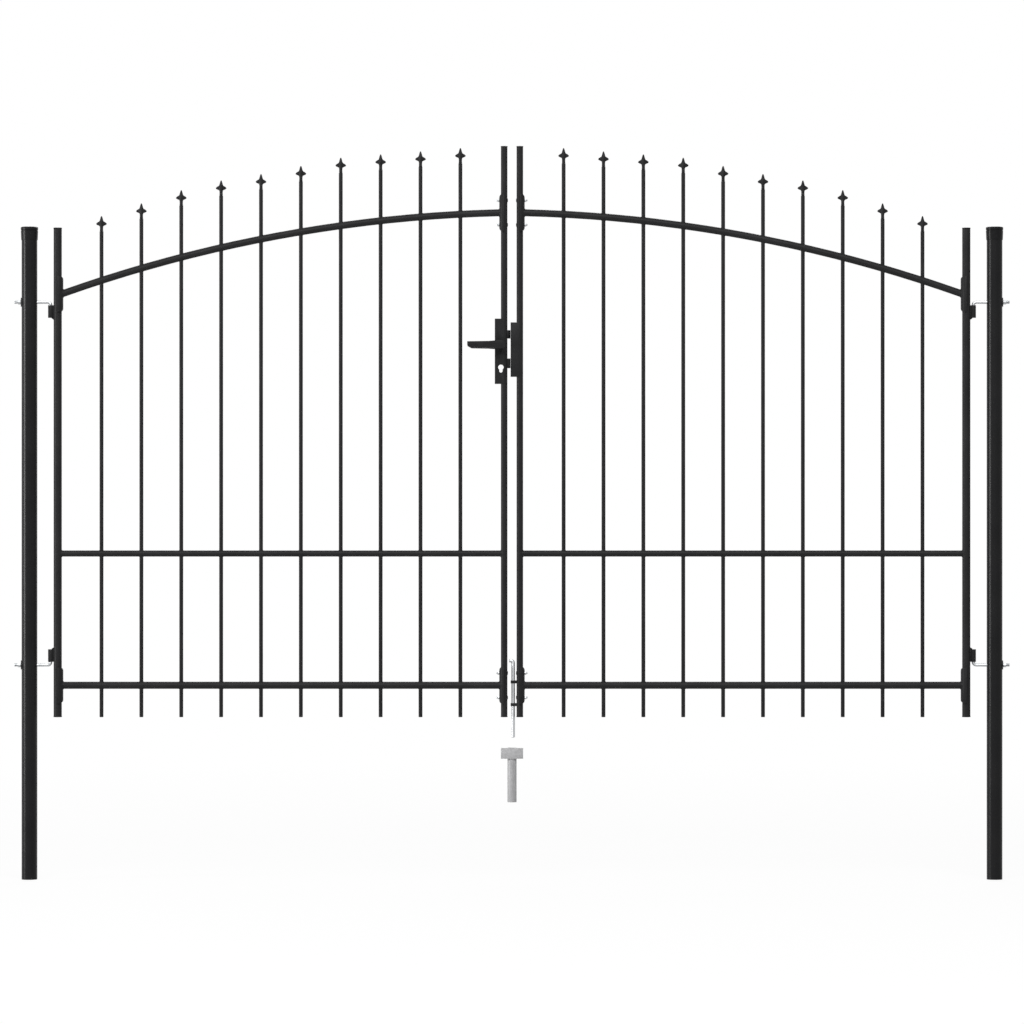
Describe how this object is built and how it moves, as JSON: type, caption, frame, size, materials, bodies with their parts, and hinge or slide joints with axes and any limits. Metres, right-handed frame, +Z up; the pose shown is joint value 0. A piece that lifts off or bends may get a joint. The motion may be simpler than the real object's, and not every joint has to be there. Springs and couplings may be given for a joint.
{
  "type": "wrought iron driveway gate",
  "caption": "Double leaf arched driveway gate of round steel bars with spear heads, hung between round posts, with lever lock, drop bolt and ground socket.",
  "frame": {"origin": "middle of the underside of the left post's foot", "axes": "+X along the gate from the left post to the right post, +Y into the property, the way the leaves open, +Z up along the posts"},
  "size_m": [3.0496, 0.0906, 2.247],
  "materials": {
    "black_powder_coat": "satin black powder coat on steel tube",
    "coated_casting": "satin black powder coat on a casting",
    "handle_black": "smooth satin black coat",
    "black_plastic": "moulded black plastic with a fine grain",
    "zinc_plate": "bright zinc plated steel",
    "galvanised_steel": "dull grey galvanised steel"
  },
  "bodies": {
    "posts": {"left_post": "black_powder_coat", "left_post_cap": "black_plastic", "left_bottom_hook_bolt": "zinc_plate", "left_top_hook_bolt": "zinc_plate", "left_hinge_washers": "black_powder_coat", "left_hinge_nuts": "zinc_plate", "right_post": "black_powder_coat", "right_post_cap": "black_plastic", "right_bottom_hook_bolt": "zinc_plate", "right_top_hook_bolt": "zinc_plate", "right_hinge_washers": "black_powder_coat", "right_hinge_nuts": "zinc_plate", "ground_socket": "galvanised_steel"},
    "left_leaf": {"left_outer_stile": "black_powder_coat", "left_inner_stile": "black_powder_coat", "left_arch_rail": "black_powder_coat", "left_mid_rail": "black_powder_coat", "left_bottom_rail": "black_powder_coat", "left_bars": "black_powder_coat", "left_spear_heads": "coated_casting", "left_stile_caps": "black_plastic", "left_outer_saddles": "black_powder_coat", "left_inner_saddles": "black_powder_coat", "left_hinge_barrels": "black_powder_coat", "lock_case": "black_powder_coat"},
    "right_leaf": {"right_outer_stile": "black_powder_coat", "right_inner_stile": "black_powder_coat", "right_arch_rail": "black_powder_coat", "right_mid_rail": "black_powder_coat", "right_bottom_rail": "black_powder_coat", "right_bars": "black_powder_coat", "right_spear_heads": "coated_casting", "right_stile_caps": "black_plastic", "right_outer_saddles": "black_powder_coat", "right_inner_saddles": "black_powder_coat", "right_hinge_barrels": "black_powder_coat", "keep_box": "black_powder_coat", "drop_bolt_guides": "black_powder_coat"},
    "handle": {"lever_handle": "handle_black"},
    "latch": {"latch_bolt": "zinc_plate"},
    "dead_bolt": {"dead_bolt": "zinc_plate"},
    "drop_bolt": {"drop_bolt": "zinc_plate"}
  },
  "joints": [
    {"name": "left_leaf_swing", "type": "hinge", "parent": "posts", "child": "left_leaf", "pos_m": [0.065, 0, 1], "axis": [0, 0, 1], "range_deg": [0, 90]},
    {"name": "right_leaf_swing", "type": "hinge", "parent": "posts", "child": "right_leaf", "pos_m": [2.8926, 0, 1], "axis": [0, 0, -1], "range_deg": [0, 90]},
    {"name": "handle_turn", "type": "hinge", "parent": "left_leaf", "child": "handle", "pos_m": [1.4448, 0, 1.638], "axis": [0, -1, 0], "range_deg": [0, 35], "stiffness_Nm_per_rad": 1, "springref_deg": -22.92},
    {"name": "latch_slide", "type": "slide", "parent": "left_leaf", "child": "latch", "axis": [-1, 0, 0], "range_m": [0, 0.0089]},
    {"name": "dead_bolt_slide", "type": "slide", "parent": "left_leaf", "child": "dead_bolt", "axis": [1, 0, 0], "range_m": [-0.009, 0.014]},
    {"name": "drop_bolt_slide", "type": "slide", "parent": "right_leaf", "child": "drop_bolt", "axis": [0, 0, -1], "range_m": [0, 0.052]}
  ],
  "couplings": [
    {"joint": "latch_slide", "follows": "handle_turn", "m_per_rad": 0.01455}
  ]
}
